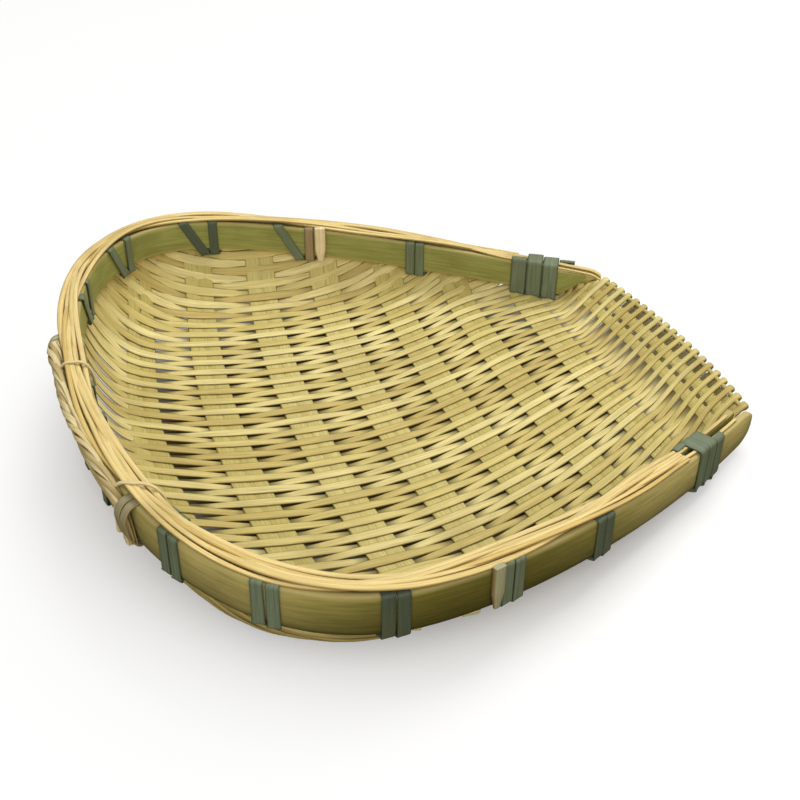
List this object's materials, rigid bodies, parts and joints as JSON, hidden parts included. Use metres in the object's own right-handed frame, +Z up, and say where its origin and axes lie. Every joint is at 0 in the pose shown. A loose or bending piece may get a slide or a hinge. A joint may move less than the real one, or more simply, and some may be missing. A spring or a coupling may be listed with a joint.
{
  "type": "dustpan basket",
  "caption": "Shallow handwoven bamboo pan, U-shaped with a rising hooped rim and an open upturned front lip, for sweeping, winnowing and carrying.",
  "frame": {"origin": "centre of the bounding box on the plane that the pan rests on", "axes": "+Z up, +X across the pan to its right side, -Y out of the open front lip"},
  "size_m": [0.3422, 0.3322, 0.0692],
  "materials": {
    "straw_weave": "matte split bamboo",
    "pale_splint": "matte split bamboo",
    "green_hoop": "satin bamboo skin",
    "bamboo_skin_strip": "satin bamboo skin, weathered",
    "golden_strand": "satin bamboo",
    "peg_wood": "matte whittled bamboo",
    "plant_fibre": "rough twisted fibre"
  },
  "bodies": {
    "root": {"back_grip": "plant_fibre", "back_lashing_1": "bamboo_skin_strip", "back_lashing_2": "bamboo_skin_strip", "back_lashing_3": "bamboo_skin_strip", "cross_splint_1_back": "pale_splint", "cross_splint_1_front": "pale_splint", "cross_splint_2_back": "pale_splint", "cross_splint_2_front": "pale_splint", "cross_splint_3_back": "pale_splint", "cross_splint_3_front": "pale_splint", "cross_splint_4_back": "pale_splint", "cross_splint_4_front": "pale_splint", "cross_splint_5_back": "pale_splint", "cross_splint_5_front": "pale_splint", "cross_splint_6_back": "pale_splint", "cross_splint_6_front": "pale_splint", "cross_splint_7_back": "pale_splint", "cross_splint_7_front": "pale_splint", "front_lashing_left": "bamboo_skin_strip", "front_lashing_right": "bamboo_skin_strip", "grip_tie_left": "plant_fibre", "grip_tie_right": "plant_fibre", "inner_hoop": "green_hoop", "lip_core": "pale_splint", "lip_splint_back": "pale_splint", "lip_splint_front": "pale_splint", "outer_hoop": "green_hoop", "peg_left": "peg_wood", "peg_right": "peg_wood", "rim_strand_1": "golden_strand", "rim_strand_2": "golden_strand", "rim_strand_3": "golden_strand", "rim_strand_4": "golden_strand", "rim_strand_5": "golden_strand", "rim_strand_6": "golden_strand", "rim_twine_left": "plant_fibre", "rim_twine_right": "plant_fibre", "side_lashing_1_left": "bamboo_skin_strip", "side_lashing_1_right": "bamboo_skin_strip", "side_lashing_2_left": "bamboo_skin_strip", "side_lashing_2_right": "bamboo_skin_strip", "side_lashing_3_left": "bamboo_skin_strip", "side_lashing_3_right": "bamboo_skin_strip", "side_lashing_4_left": "bamboo_skin_strip", "side_lashing_4_right": "bamboo_skin_strip", "side_lashing_5_left": "bamboo_skin_strip", "side_lashing_5_right": "bamboo_skin_strip", "woven_mat": "straw_weave"}
  },
  "joints": []
}
